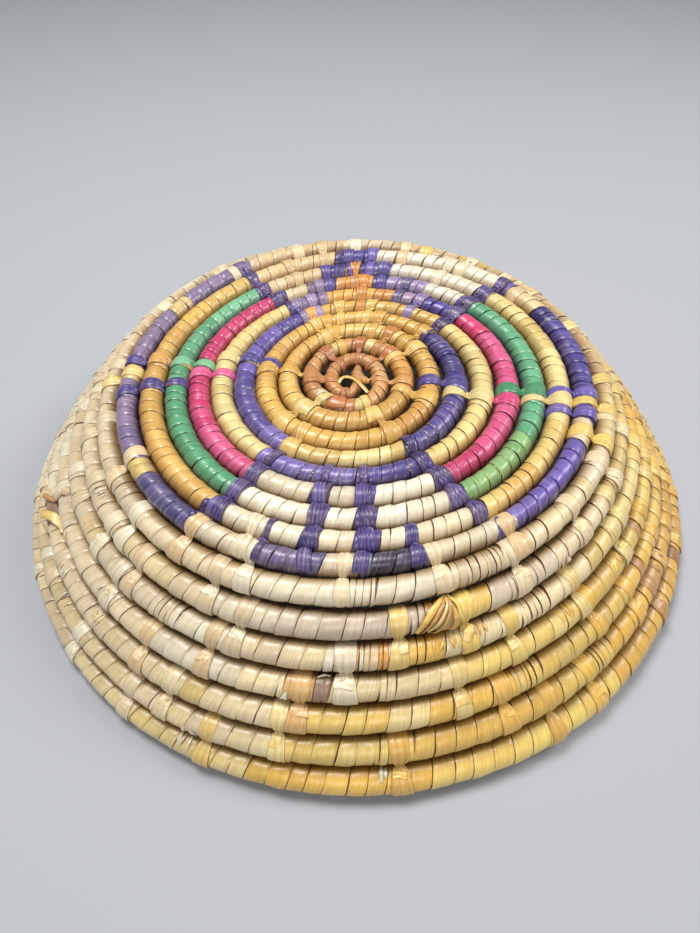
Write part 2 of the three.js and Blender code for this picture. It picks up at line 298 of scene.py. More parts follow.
# The colours of each round as chains, "from palette to palette to ...", in degrees: 0 in front and
# positive to the right. Later chains lie on top. "natural" is plain straw. The short purple and indigo
# ones are the corners of the star, where such strips cover the coil, and the two columns in front.
PATTERN = {
    1: "225 toffee -135",
    2: "225 toffee -135, 20 yellow 6, 5 caramel -33, -34 yellow -47, -97 yellow -108",
    3: "225 toffee 215 yellow 195 toffee 175 amber 164 yellow 144 toffee 124 amber 60 honey -135",
    4: "225 honey -135, 95 amber 30",
    5: "225 honey 127 indigo 75 purple 24 yellow -32 purple -152",
    6: "208 orange 203 honey 128 yellow 27 purple -37 yellow -147, 29.5 purple 25.5, 133 purple 128",
    7: "213 faded 198 amber 158.4, 153 indigo 133, 158.4 lilac 153, 133 pink 29 pale -31 pink -141, "
       "-31 purple -34.6, 30.8 purple 24.8, 134.5 purple 128.5, 216.4 purple 211, -8.2 indigo -13.8, "
       "5.6 indigo -0.4",
    8: "219 cream 203.6 faded 196 indigo 190.4 orange 174.4 indigo 168.4 lilac 152 pale 137, "
       "131 green 60 grass 30 pale -34 green -139, -31.4 purple -35, 30.2 purple 24.8, "
       "137 purple 131, 220.5 purple 215.5, -8 indigo -12.4, 4.8 indigo -0.8",
    9: "221 tan 195.2 indigo 185.6 orange 180 indigo 168.4 pale 135, 130 yellow 30, 50 honey 38, "
       "30 cream -36 honey -141, -31.6 purple -36, 31.2 purple 27.2, 135.5 purple 130.5, "
       "222.5 purple 217.5, 13 purple 10.4, -19.8 purple -20.8, -8.8 indigo -12.8, 4.8 indigo -1.2",
    10: "219 tan 188.8 indigo 176 pale 133, 168 brown 166, 130 natural 117 indigo 30, 80 straw 77, "
        "72 tan 64 purple 34, 30 cream 14.4 navy 0.4, 11 slate 2.4, 0.4 cream -7.2 faded -20.8 cream "
        "-35.2 navy -53 straw -58 faded -85 straw -90 faded -113 straw -120 faded -147, "
        "133 purple 128.5, 221 purple 217.5",
    11: "99 tan 84, 216 tan 185 cream 170 tan 150, 141 tan 132, 130 tan 100, 66 cream 55, "
        "221 purple 218",
    12: "11 grey -16, 12.5 orange 11, 23 golden 12.5, 38 grey 23, 56 cream 38, -34 sand -50",
    13: "8 tan 6 pale 4.8 orange 3.2 tan 0.9, 0.2 brown -0.4, 0.9 pale 0.2, -3.6 pale -5.2, "
        "14 golden 8, -52 sand -60, 88 golden 74",
    14: "-4 mauve -6.4 stained -8.2, -9.5 stained -11, 61 brown 59",
    15: "57 brown 55, -67.5 mauve -72.5",
    16: "60 brown 57",
    17: "69 brown 66.5, 30 golden 22",
}
RANGES = []
for number, chains in PATTERN.items():
    for words in (chain.split() for chain in chains.split(",")):
        RANGES += [(turn_of(number, float(words[i])), turn_of(number, float(words[i + 2])), words[i + 1])
                   for i in range(0, len(words) - 2, 2)]
EDGES_OF_RANGES = np.array(sorted({round(v, 5) for r in RANGES for v in r[:2]}))


# Plain straw by how golden it is: below the number, the palette.
GOLDEN_STEPS = ((0.30, "cream"), (0.48, "sand"), (0.74, "straw"), (1.2, "golden"), (math.inf, "deep"))


def natural_palette(t, shade):
    """Plain straw: paler on the left and high up, more golden to the right and towards the rim."""
    number = t + (degrees_of(t) + 90) / 360
    side = math.sin(math.radians(degrees_of(t)))
    gold = 0.14 + 0.10 * (number - 10.5) + (0.34 if side > 0 else 0.60) * side + shade
    gold += 0.15 * math.exp(-((number - 14.5) / 1.0) ** 2)
    return next(palette for limit, palette in GOLDEN_STEPS if gold < limit)


def palette_at(t, shade=0.0):
    found = None
    for first, last, palette in RANGES:
        if first - 1e-6 <= t < last:
            found = palette
    if found in (None, "natural"):
        return natural_palette(t, shade)
    return found


# ---- the runs, one for each CAD node

NODES = sorted(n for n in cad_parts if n.startswith("round_"))
# Each round's runs of one colour, named as their CAD nodes, and where each ends, in degrees.
NATURAL_ROUND = "natural -135"
ROUND_RUNS = {
    2: "start_caramel -135",
    3: "honey -135",
    4: "honey -135",
    5: "back_honey 127 right_purple 24 front_honey -32 left_purple -152",
    6: "back_honey 128 right_yellow 27 front_purple -37 left_yellow -147",
    7: "back_left_purple 193 back_honey 153 back_right_purple 129 right_pink 32 front_natural -37 "
       "left_pink -141",
    8: "back_left_natural 198 back_left_purple 186 back_honey 170 back_right_purple 148 "
       "back_right_natural 129 right_green 30 front_natural -37 left_green -139",
    9: "back_left_natural 191 back_purple 165 back_right_natural 126 right_yellow 30 "
       "front_natural -37 left_honey -141",
    10: "back_left_natural 186 back_purple 172 back_right_natural 117 right_purple 30 "
        "front_right_natural 13 front_purple -20 front_left_natural -36 left_purple -147",
    17: "rim_natural -135",
}
RUNS = []
run_start = VISIBLE_START
for number in range(2, 18):
    words = ROUND_RUNS.get(number, NATURAL_ROUND).split()
    for place, degrees in zip(words[::2], words[1::2]):
        run_end = min(turn_of(number, float(degrees)), LAST_TURN)
        RUNS.append(("round_%02d_%s" % (number, place), run_start, run_end))
        run_start = run_end
missing = {r[0] for r in RUNS} ^ set(NODES)
assert not missing, missing


# ---- mesh helpers

FLOOR_PUSH = 0.0007


class Strips:
    """Collects grids of leaf: points, the strip's own UV in metres, colour, and edge (1 in a dark slit: its
    own dark with painted shade).
    """

    def __init__(self):
        self.points, self.faces, self.uvs, self.colours, self.edges = [], [], [], [], []
        self.count = 0
        self.slits = None       # where the wraps of a run start along the coil

    def add(self, points, uv, colour, edge):
        """points (n, rows, columns, 3), uv (…, 2), colour (n, …, 3), edge (n, rows, columns)."""
        n, rows, columns = points.shape[:3]
        index = np.arange(n * rows * columns).reshape(n, rows, columns) + self.count
        quads = np.stack([index[:, :-1, :-1], index[:, 1:, :-1], index[:, 1:, 1:], index[:, :-1, 1:]], -1)
        self.points.append(points.reshape(-1, 3))
        self.faces.append(quads.reshape(-1, 4))
        self.uvs.append(np.broadcast_to(uv, points.shape[:3] + (2,)).reshape(-1, 2))
        self.colours.append(np.broadcast_to(colour, points.shape).reshape(-1, 3))
        self.edges.append(np.broadcast_to(edge, points.shape[:3]).reshape(-1))
        self.count += n * rows * columns

    def object(self, name, material):
        points = np.concatenate(self.points)
        z = points[:, 2]
        low = z < FLOOR_PUSH        # what would go through the floor is pressed flat on it
        z[low] = FLOOR_PUSH * np.exp((z[low] - FLOOR_PUSH) / (3 * FLOOR_PUSH))
        faces = np.concatenate(self.faces)
        mesh = bpy.data.meshes.new(name)
        mesh.vertices.add(len(points))
        mesh.vertices.foreach_set("co", points.ravel())
        mesh.loops.add(faces.size)
        mesh.loops.foreach_set("vertex_index", faces.ravel())
        mesh.polygons.add(len(faces))
        mesh.polygons.foreach_set("loop_start", np.arange(0, faces.size, 4))
        mesh.polygons.foreach_set("use_smooth", np.ones(len(faces), bool))
        uv = np.concatenate(self.uvs)[faces.ravel()]
        mesh.uv_layers.new(name="strip").data.foreach_set("uv", uv.ravel() * 100)
        rgba = np.concatenate([np.concatenate(self.colours), np.ones((len(points), 1))], 1)
        mesh.color_attributes.new("leaf", "FLOAT_COLOR", "POINT").data.foreach_set("color", rgba.ravel())
        mesh.attributes.new("edge", "FLOAT", "POINT").data.foreach_set("value", np.concatenate(self.edges))
        mesh.update()
        mesh.validate()
        mesh.materials.append(material)
        obj = bpy.data.objects.new(name, mesh)
        bpy.context.scene.collection.objects.link(obj)
        return obj


STRIPS = {name: Strips() for name, _, _ in RUNS}


def strips_at(number, degrees):
    """The strips of the run at a place. A place past the coil's end counts as the last run."""
    t = turn_of(number, degrees)
    return STRIPS[next((name for name, first, last in RUNS if first <= t < last), RUNS[-1][0])]


def strip_uv(c, width, along):
    """UV for a grid of one strip: c is -1 to 1 across it, and along is the way in metres."""
    u = (c + 1) * width / 2 + rng.uniform(0, 3)
    return np.stack(np.broadcast_arrays(u, along + rng.uniform(0, 3)), -1)


def pick(palette):
    choices = PALETTES[palette]
    return np.array(choices[int(rng.integers(0, len(choices)))])


# ---- wraps

# Across a wrap, in mm: it starts under the strip before it, and its far edge lies on the next one.
HEAD = np.array([0, 0.30, 0.58, 0.72, 0.86]) / 1000
TAIL = np.array([0.12, 0.04, 0]) / 1000
MIDDLE = np.array([0.22, 0.50, 0.78])
LIFTS = np.array([-0.42, -0.38, -0.32, -0.12, 0.0, 0.085, 0.12, 0.105, 0.065, 0.01, -0.32]) / 1000
# How much slit colour lies across a wrap: the dark of the gap between wraps, with painted shade in it.
SLIT_AND_SHADE = np.array([1, 1, 1, 0.65, 0.08, 0, 0, 0, 0, 0.45, 1])
OVERLAP = 0.00025
WIDEST_HELIX = 0.0075       # a wider wrap isn't laid at a steeper slant
LEAF_RADIUS = 0.0062        # the coil's, for the length of leaf round it
PHI = np.radians(np.linspace(-90, 270, 31))
# Where the photo shows very narrow wraps: round, from, to. Then up to which turn wraps are how wide.
NARROW = [(turn_of(n, a), turn_of(n, b)) for n, a, b in (
    (11, 4, -3), (11, 28, 15), (13, 13, -2.5), (12, 14, 9), (14, -1, -5.5), (12, 36, 28), (15, 30, 24),
    (13, 35, 28), (14, 8, 4), (12, -57, -64), (13, -30, -35), (11, -52, -57), (16, 45, 40))]
WIDTHS = ((1.8, 0.0034, 0.0054), (4.2, 0.0044, 0.0060), (9.1, 0.0050, 0.0070), (10, 0.0056, 0.0078),
          (math.inf, 0.0066, 0.0096))


def wrap_width(t):
    if any(first <= t < last for first, last in NARROW):
        return rng.uniform(0.0017, 0.0034)
    return rng.uniform(*next(row[1:] for row in WIDTHS if t < row[0]))


def cut_wraps(begin, end):
    """Where each wrap of a run starts and ends, along the coil. Colour borders fall between wraps."""
    stops = EDGES_OF_RANGES[(EDGES_OF_RANGES > begin + 1e-4) & (EDGES_OF_RANGES < end - 1e-4)]
    wraps = []
    at = begin
    narrow = 0      # how many of a chance row of narrow wraps are left
    for stop in list(stops) + [end]:
        s, s_stop = float(s_of(at)), float(s_of(stop))
        while s_stop - s > 1e-5:
            t = float(t_of(s))
            if narrow == 0 and t > 10 and rng.random() < 0.012:
                narrow = int(rng.integers(3, 7))
            width = rng.uniform(0.0019, 0.0034) if narrow else wrap_width(t)
            narrow = max(0, narrow - 1)
            if s_stop - s < 1.45 * width:
                width = s_stop - s
            wraps.append((s, s + width))
            s += width
        at = stop
    return wraps


def wave(n, x, waves):
    """A wave for each of n wraps, each with a phase of its own."""
    return np.sin(x * waves + rng.uniform(0, 6.28, (n, 1, 1)))


# The strip being wound: how many wraps are left of it, its tone, its colour's place, and its lightness.
strip_shade = {"left": 0, "shade": 0.0, "pick": 0, "light": 1.0}


def strip_colour(t):
    """The colour of one wrap. A strip lasts a few wraps, and its tone hardly changes along it."""
    if strip_shade["left"] <= 0:
        strip_shade["left"] = int(rng.integers(3, 10))
        strip_shade["shade"] = rng.normal(0, 0.11)
        strip_shade["pick"] = int(rng.integers(0, 100))
        strip_shade["light"] = rng.uniform(0.94, 1.05)
    strip_shade["left"] -= 1
    palette = palette_at(t, strip_shade["shade"])
    choices = PALETTES[palette]
    first = np.array(choices[strip_shade["pick"] % len(choices)])
    mixed = first + (pick(palette) - first) * rng.uniform(0, 0.45)
    return linear(np.clip(mixed * strip_shade["light"] * rng.uniform(0.96, 1.03), 0, 1)), palette


# What dyed leaf fades to.
FADED = {"purple": (0.56, 0.48, 0.60), "violet": (0.50, 0.44, 0.54), "navy": (0.44, 0.40, 0.50),
         "indigo": (0.42, 0.36, 0.60), "faded": (0.60, 0.52, 0.60), "slate": (0.34, 0.30, 0.36),
         "green": (0.62, 0.76, 0.50), "grass": (0.72, 0.78, 0.48), "lilac": (0.70, 0.62, 0.70)}
FADED_FROM = np.radians(70)
# How much painted shade darkens dyed and plain leaf down in the grooves, for red, green and blue.
GROOVE_SHADE_DYED, GROOVE_SHADE_PLAIN = np.array([0.76, 0.78, 0.68]), np.array([0.70, 0.80, 0.90])


def fade_and_paint_groove_shade(colour, phi, palettes):
    """Painted shade makes the leaf darker and warmer down in the grooves, and dyed leaf fades on its outer
    side.
    """
    # deep is the share of painted shade, which is strongest down in the grooves.
    deep = np.abs(np.cos(phi))[..., None] ** 3.2
    dyed = np.array([p in FADED for p in palettes])[:, None, None, None]
    faded = np.array([linear(FADED.get(p, (0, 0, 0))) for p in palettes])[:, None, None, :]
    outer = smoothstep((FADED_FROM - np.abs(phi)) / FADED_FROM)[..., None]
    amount = outer * dyed * rng.uniform(0.3, 0.8, (len(palettes), 1, 1, 1))
    colour = colour * (1 - amount) + faded * amount
    return colour * (1 - deep * np.where(dyed, GROOVE_SHADE_DYED, GROOVE_SHADE_PLAIN))


def add_wraps(strips, begin, end):
    """Winds one run, and keeps where its wraps start along the coil."""
    wraps = cut_wraps(begin, end)
    n = len(wraps)
    start = np.array([w[0] for w in wraps])[:, None, None]
    width = np.array([w[1] - w[0] for w in wraps])[:, None, None]
    full = width + 2 * OVERLAP
    middle = HEAD[-1] + MIDDLE[None, :, None] * (full - HEAD[-1] - TAIL[0])
    place = np.concatenate([np.broadcast_to(HEAD[None, :, None], (n, len(HEAD), 1)), middle,
                            full - TAIL[None, :, None]], 1)
    u = place / full
    phi = PHI[None, None, :]
    # A strip is wound as a helix, and its two edges waver a little.
    helix = np.minimum(width, WIDEST_HELIX) * (np.pi / 2 - phi) / (2 * np.pi)
    lean = rng.normal(0, 0.00013, (n, 1, 1)) * np.cos(phi) + rng.normal(0, 0.00010, (n, 1, 1)) * np.sin(phi)
    waver = 0.00006 * wave(n, phi, 3) + 0.00004 * wave(n, phi, 7)
    s = start - OVERLAP + place + helix + lean + waver * (2 * u - 1)
    s = np.clip(s, S_TABLE[0], s_of(LAST_TURN))
    tilt = rng.normal(0, 0.00014, (n, 1, 1)) * (2 * u - 1) * np.sin(np.pi * np.clip(u, 0, 1)) ** 0.3
    crown = np.where(LIFTS > 0, LIFTS, 0)[None, :, None] * rng.uniform(0.3, 1.3, (n, 1, 1))
    lift = np.where(LIFTS > 0, 0, LIFTS)[None, :, None] + crown + tilt + rng.normal(0, 0.00008, (n, 1, 1))
    lift = lift + 0.00010 * wave(n, phi + 1.5 * u, 3)
    lift = lift + 0.00004 * wave(n, phi - 3 * u, 8)
    points = on_coil(t_of(s), phi, lift)
    along = phi * LEAF_RADIUS + rng.uniform(0, 3, (n, 1, 1))
    uv = np.stack(np.broadcast_arrays(place + rng.uniform(0, 3, (n, 1, 1)), along + 0 * u), -1)
    middles = t_of(start[:, 0, 0] + width[:, 0, 0] / 2)
    chosen = [strip_colour(float(m)) for m in middles]
    colour = np.array([c for c, _ in chosen])[:, None, None, :]
    # Dyed leaf fades on its outer side, and painted shade darkens it down in the grooves.
    colour = fade_and_paint_groove_shade(colour, phi, [p for _, p in chosen])
    # How dark each gap between wraps is: its own dark, with painted shade in it.
    darkness = np.where(rng.random(n + 1) < 0.70, rng.uniform(0.85, 1, n + 1), rng.uniform(0.3, 0.6, n + 1))
    slit_and_shade = np.where(u < 0.5, darkness[:-1, None, None], darkness[1:, None, None])
    strips.add(points, uv, colour, SLIT_AND_SHADE[None, :, None] * slit_and_shade)
    strips.slits = start[:, 0, 0]


# ---- stitches

# Places across a strip, closer together at its edges.
COLUMNS = np.array([-1, -0.985, -0.90, -0.72, -0.52, -0.34, -0.17, 0,
                    0.17, 0.34, 0.52, 0.72, 0.90, 0.985, 1])


def add_stitch(strips, t, palette, width, waist, fan, skew=0.0, lean=0.0, groove=0.50, lift=0.00042,
               creases=2.5, pleats=1.0, leaf=False):
    """A strip that comes round the outer round, pinches in the groove and lies round the inner one at t.

    waist is its width in the groove, as a share. fan is where it starts on the outer round, in degrees
    from the groove; skew shifts that end along the coil and lean the other one. A leaf is pleated like
    a fan all the way.
    """
    v, c = np.linspace(0, 1, 44)[:, None], COLUMNS[None, :]
    neck = 0.42         # where along it the groove is
    far = 203           # where it ends round the inner round, in degrees from the groove
    wide = [0.50, 0.68, 0.86] if leaf else [0.62, 0.82, 0.97]
    half = smooth_path([0, 0.66 * neck, 0.86 * neck, neck, neck + 0.09, neck + 0.20, neck + 0.34, 0.9, 1],
                       np.array([0.96, 0.96, 0.80, waist] + wide + [1.0, 0.94]) * width / 2, v)
    pinch = np.clip(1 - 2 * half / width, 0, 1) + (0.30 if leaf else 0)
    shift = smooth_path([0, neck, 0.75, 1], [skew, 0, lean * 0.6, lean], v)
    offset = (half * c + shift) / (2 * np.pi * max(radius_at(t + 0.5), 0.006))
    t_inner, t_outer = t + offset, np.minimum(t + 1 + offset, LAST_TURN)
    c0, _, out0, sp0 = coil(t_inner)
    c1, _, out1, sp1 = coil(t_outer)
    a0, b0 = half_sizes(t_inner, sp0)
    a1, b1 = half_sizes(t_outer, sp1)
    line = c1 - c0
    gap = np.linalg.norm(line, axis=-1, keepdims=True)
    line = line / gap
    normal = square_to(line, out0 + out1)
    phase = rng.uniform(0, 6.28)
    folds = np.cos(creases * np.pi * c + phase)
    crown = 0.00022 * (1 - c ** 2)
    crease = 0.00050 * pleats * (0.10 + pinch) * folds
    fine = 0.00005 * np.cos((3.1 * c + rng.uniform(-1, 1)) * 2.4 + v * rng.uniform(-3, 3))
    skirt = -0.0009 * (np.abs(c) > 0.99) - 0.0001 * (np.abs(c) > 0.95)
    # The end of the fan is cut at a slant, and tucks in.
    slant = 0.02 + rng.normal(0, 0.016) * c + 0.012 * np.cos(c * 4 + phase)
    tip = -0.0013 * smoothstep(1 - (v - slant) / 0.03)
    raised = lift + crown + crease + fine + skirt
    outer_lift = raised + tip + 0.0004 * np.sin(np.pi * np.clip(v / neck, 0, 1))
    inner_angle = np.radians(smooth_path([neck, neck + 0.12, neck + 0.27, 1], [18, 44, 84, far],
                                         np.maximum(v, neck)))
    outer_angle = np.radians(smooth_path([0, neck * 0.6, neck], [fan, 0.52 * fan, 18], np.minimum(v, neck)))
    cos0, sin0, cos1, sin1 = (turn(a) for a in (inner_angle, outer_angle) for turn in (np.cos, np.sin))
    on_inner = c0 + line * ((a0 + raised) * cos0)[..., None] + normal * ((b0 + raised) * sin0)[..., None]
    on_outer = c1 - line * ((a1 + outer_lift) * cos1)[..., None] \
        + normal * ((b1 + outer_lift) * sin1)[..., None]
    middle = c0 + line * (gap * a0[..., None] / (a0 + a1)[..., None]) \
        + normal * (groove * b0 + crease + crown + skirt)[..., None]
    blend = smoothstep((v - (neck - 0.035)) / 0.07)[..., None]
    side = on_outer * (1 - blend) + on_inner * blend
    near = np.exp(-((v - neck) / 0.05) ** 2)[..., None]
    points = side * (1 - near) + middle * near
    uv = strip_uv(c, width, way_along(points[:, len(COLUMNS) // 2])[:, None])
    colour = linear(np.clip(pick(palette) * rng.uniform(0.96, 1.04), 0, 1))
    # Painted shade darkens the creases of the pleats, most where the strip is pinched.
    shade = 1 - ((0.44 if leaf else 0.08) + 0.55 * pinch) * (0.5 - 0.5 * folds)
    # Painted shade along the strip's edges and its tip, in the slit colour, with the leaf's own dark edge.
    edge = 0.45 * (np.abs(c) > 0.98) + 0.3 * (v < 0.03)
    strips.add(points[None], uv[None], (colour[None, None] * shade[..., None])[None], edge[None])


def surface(number, degrees, phi, lift):
    """A point and the outward direction on the wrapped coil. lift is in mm, phi 90 is its outside."""
    t = np.array([turn_of(number, degrees)])
    centre, across, out, spacing = (value[0] for value in coil(t))
    half_width, half_depth = (float(v[0]) for v in half_sizes(t, spacing))
    cos, sin = math.cos(math.radians(phi)), math.sin(math.radians(phi))
    point = centre + across * (half_width + lift / 1000) * cos + out * (half_depth + lift / 1000) * sin
    return point, across * cos + out * sin


def add_ribbon(strips, places, width, palette, light=1.0, fold=0.0, roll=(0.0, 0.0), shares=(1, 1),
               outline=0.45):
    """A free strip of leaf through places on the coil: (round, degrees, phi, lift).

    A place can also be a point and a direction. fold raises its middle into a crease, in mm, roll turns
    it about its length, in radians from its first end to its last, shares are its width at even steps
    along it, and outline is how dark its two edges are, in painted shade.
    """
    found = [surface(*place) if len(place) == 4 else place for place in places]
    knots, normals = (np.array([f[i] for f in found]) for i in (0, 1))
    way = way_along(knots)
    x = np.linspace(0, way[-1], 9 * (len(places) - 1) + 1)
    path, normal = (np.stack([smooth_path(way, values[:, i], x) for i in range(3)], -1)
                    for values in (knots, normals))
    along = np.gradient(path, axis=0)
    along /= np.linalg.norm(along, axis=1, keepdims=True)
    normal = square_to(along, normal)
    side = np.cross(along, normal)
    angle = np.linspace(roll[0], roll[1], len(x))[:, None]
    side, normal = (side * np.cos(angle) + normal * np.sin(angle),
                    normal * np.cos(angle) - side * np.sin(angle))
    c = np.linspace(-1, 1, 7)
    half = width / 2 * np.interp(x / way[-1], np.linspace(0, 1, len(shares)), shares)
    raised = fold / 1000 * (1 - np.abs(c)) + 0.00012 * (1 - c ** 2)
    points = path[:, None] + side[:, None] * (half[:, None] * c)[..., None] \
        + normal[:, None] * raised[:, None]
    uv = strip_uv(c[None, :], width, x[:, None])
    colour = linear(np.clip(pick(palette) * light, 0, 1))
    # Painted shade on one half of the crease.
    shade = 1 - min(0.35, 0.5 * fold) * (c < 0)[:, None]
    # Its edges take the slit colour: painted shade along them, with the leaf's own dark edge.
    strips.add(points[None], uv[None], colour * shade, outline * (np.abs(c) > 0.98))


PURPLE = dict(width=0.0062, waist=0.38, creases=3.5, lift=0.0005, pleats=1.8)
HONEY = dict(width=0.0062, waist=0.42)
NATURAL = dict(width=0.0070, waist=0.48, lift=0.00030)
TIE = dict(width=0.0052, waist=0.36, creases=3.5, lift=0.0007, pleats=1.9, lean=-0.0024, leaf=True)
KINDS = {"tie": TIE, "right_tie": dict(TIE, lean=0.0024), "thin_tie": dict(TIE, width=0.0044),
         "sliver": dict(width=0.0026, waist=0.7)}
DYED = ("purple", "faded", "navy", "lilac", "violet", "indigo", "dusk")
STRAWS = ("cream", "sand", "straw", "golden")
# The stitches seen in the photo: the round one lies over, degrees, palette, and where it isn't as
# usual, its kind or its width in tenths of a mm. Their order decides the random draws.
SEEN = []
for rows in (
        # left spoke
        "4 -98 purple, 5 -97 yellow, 6 -87 pink, 7 -92 green, 8 -92 orange 75, 8 -82 purple, "
        "9 -91.5 purple, 9 -81 purple, 10 -87.5 cream, 3 -93 honey",
        # right spoke
        "4 82 purple 85, 5 74.5 yellow 85, 6 74 pink 70, 7 80 green 80, 8 77.5 yellow 85, "
        "9 73.5 purple, 9 81 purple, 10 78.5 cream 70, 11 77 cream 85",
        # front columns
        "6 -12.2 dusk thin_tie, 6 1 dusk thin_tie, 7 -11.5 dusk tie, 7 1.4 dusk tie, 8 -11 dusk tie, "
        "8 0.9 dusk tie, 9 -11.4 dusk tie, 9 0.4 dusk tie, 9 11.7 violet 50, 9 -20.3 violet sliver",
        # corners of the star
        "6 -33 dusk tie, 7 -33.2 dusk tie, 8 -33.4 dusk tie, 5 25.5 dusk tie, 6 27.4 dusk right_tie, "
        "7 27.2 dusk right_tie, 8 28.6 dusk right_tie, 5 130 violet, 6 131.2 faded, 7 132.8 violet, "
        "8 133.4 violet, 9 131.8 violet, 6 212.5 faded, 7 215.8 violet, 8 219 violet, 9 219.6 violet, "
        "10 219.2 faded, 9 -24 cream, 10 -3.4 cream 60, 10 15 cream, 10 -21.5 cream, 10 -35.5 tan 75, "
        "10 -59.5 tan, 10 68 straw 80, 10 32 tan 80",
        # honey rounds
        "3 -43.5 honey, 4 208 honey, 3 120.5 honey, 3 64 honey, 4 -29 honey, 3 23.5 honey, "
        "4 132 honey, 4 200 honey, 5 208 orange, 3 148 amber, 3 197 honey, 5 190 honey, 4 163 honey, "
        "5 172 honey, 6 178 amber, 6 204 lilac, 6 150 lilac, 7 198 faded, 7 178 orange, 7 160 faded, "
        "8 193 purple, 8 182 orange, 8 171 purple, 9 184 purple, 9 176 purple, 9 205 tan, "
        "9 150 cream, 10 166 tan, 10 192 tan, 10 146 cream",
        # natural rounds
        "12 -64 straw, 11 -26.5 cream, 11 47 straw, 12 -52.5 straw, 12 -20 cream 78, 12 6.5 straw 75, "
        "12 17.9 golden, 13 25.5 straw, 13 -45 straw, 13 -24 tan, 13 -2 straw 93, 14 15.5 straw, "
        "14 41.5 straw, 14 -35 tan, 14 -8.5 stained 85, 15 22 straw 78, 15 -28.5 golden, "
        "15 -11 straw, 16 -47.5 golden, 16 -21 straw, 16 6 straw 85, 16 29 straw, 12 57.5 golden, "
        "13 54 golden, 15 51 golden, 16 56.5 brown, 16 82 golden, 14 -74 cream, 11 -48 cream, "
        "12 -42 tan, 11 30 straw"):
    for number, degrees, palette, *more in (row.split() for row in rows.split(",")):
        changes = KINDS.get(more[0]) or dict(width=int(more[0]) / 10000) if more else {}
        SEEN.append((int(number), float(degrees), palette, changes))


def add_cinch(number, degrees, palette, count, phi=(136, 160)):
    """Small folds of the strip that lie across its waist, down in the groove."""
    radius = radius_at(turn_of(number + 1, degrees))
    for _ in range(count):
        half = math.degrees(rng.uniform(0.0012, 0.0023) / radius)
        middle = degrees + rng.normal(0, 0.2 * half)
        at, rise = rng.uniform(*phi), rng.uniform(-9, 9)
        add_ribbon(strips_at(number + 1, degrees),
                   [(number + 1, middle - half, at - rise, 0.2),
                    (number + 1, middle, at, rng.uniform(0.9, 1.4)),
                    (number + 1, middle + half, at + rise, 0.2)],
                   rng.uniform(0.0009, 0.0015), palette, rng.uniform(1.0, 1.1), fold=0.25,
                   roll=rng.uniform(-0.35, 0.35, 2), shares=(0.6, 1, 0.6))


def add_flap(strips, t, palette, width):
    """The folded square of leaf just below the waist of a stitch, flat on top of the outer round."""
    v = np.concatenate([[0, 0.04], np.linspace(0.10, 0.90, 11), [0.96, 1]])[:, None]
    c = COLUMNS[None, :]
    slant, bow = rng.normal(0, 0.0007), rng.uniform(-0.0006, 0.0006)
    narrow = 0.86 + 0.14 * np.minimum(v * 3, 1) - 0.10 * rng.random() * v
    offset = (width / 2 * c * narrow + slant * v + bow * v ** 2) / (2 * np.pi * radius_at(t + 1))
    turns = np.minimum(t + 1 + offset, LAST_TURN)
    span = rng.uniform(44, 62)
    skewed = rng.uniform(-0.09, 0.09) * c + 0.03 * np.cos(3 * c + rng.uniform(0, 6))
    phi = np.radians(166 - span * (v + skewed * v))
    folds = int(rng.integers(1, 4))
    line = v * folds + 0.22 * rng.choice([-1, 1]) * c
    ridge = 0.00030 * np.abs(np.sin(np.pi * line + rng.uniform(0, 3)))
    body = 0.00055 + ridge + 0.00025 * rng.normal() * c + 0.00015 * (1 - c ** 2)
    rim = np.where((v <= 0) | (v >= 1) | (np.abs(c) > 0.99), 1.0, 0.0)
    lift = body * (1 - rim) - 0.0001 * rim
    points = on_coil(turns, phi, lift)
    uv = strip_uv(c, width, 0.006 * v)
    colour = linear(np.clip(pick(palette) * rng.uniform(1.0, 1.05), 0, 1))
    # Painted shade in the valleys between the folds of the flap.
    shade = 1 - 0.28 * (1 - ridge / 0.0003) ** 2
    # Painted shade along the flap's rim where it meets the round, in the slit colour, with the leaf's own
    # dark edge.
    strips.add(points[None], uv[None], (colour * shade[..., None])[None], 0.5 * rim[None])


def add_tied_stitch(number, degrees, palette, changes):
    """One stitch, with the small folds at its waist or a flap of leaf below it."""
    t = turn_of(number, degrees)
    if palette == "dusk":
        palette = rng.choice(["dusk", "dusk", "purple", "violet"])
    dyed = palette in DYED
    settings = dict(PURPLE if dyed else NATURAL if number >= 10 else HONEY)
    if number >= 10 and palette in STRAWS:
        around = palette_at(t, rng.normal(-0.06, 0.08))
        palette = around if around in STRAWS + ("deep",) else palette
    side = rng.choice([-1, 1])
    settings.update(skew=side * rng.uniform(0.0003, 0.0014), lean=rng.normal(0, 0.0008),
                    fan=rng.uniform(168, 182), waist=settings["waist"] + rng.uniform(-0.05, 0.05))
    settings.update(changes)
    strips = strips_at(number + 1, degrees)
    add_stitch(strips, t, palette, **settings)
    if dyed or number < 10:
        add_cinch(number, degrees, rng.choice(["violet", "violet", "purple"]) if dyed else palette, 2)
    elif rng.random() < 0.85:
        add_flap(strips, t, palette, settings["width"] * rng.uniform(0.62, 0.85))
        if rng.random() < 0.4:
            add_cinch(number, degrees, palette, 1)


# Degrees between which the photo shows the stitches: on the wall, where a few are added all the same,
# and on round 10, where none is. Added ones keep clear of the ones seen.
SEEN_FRONT, SEEN_ROUND_10 = (-58, 58), (-130, 120)
CLEAR_OF_SEEN = 0.022


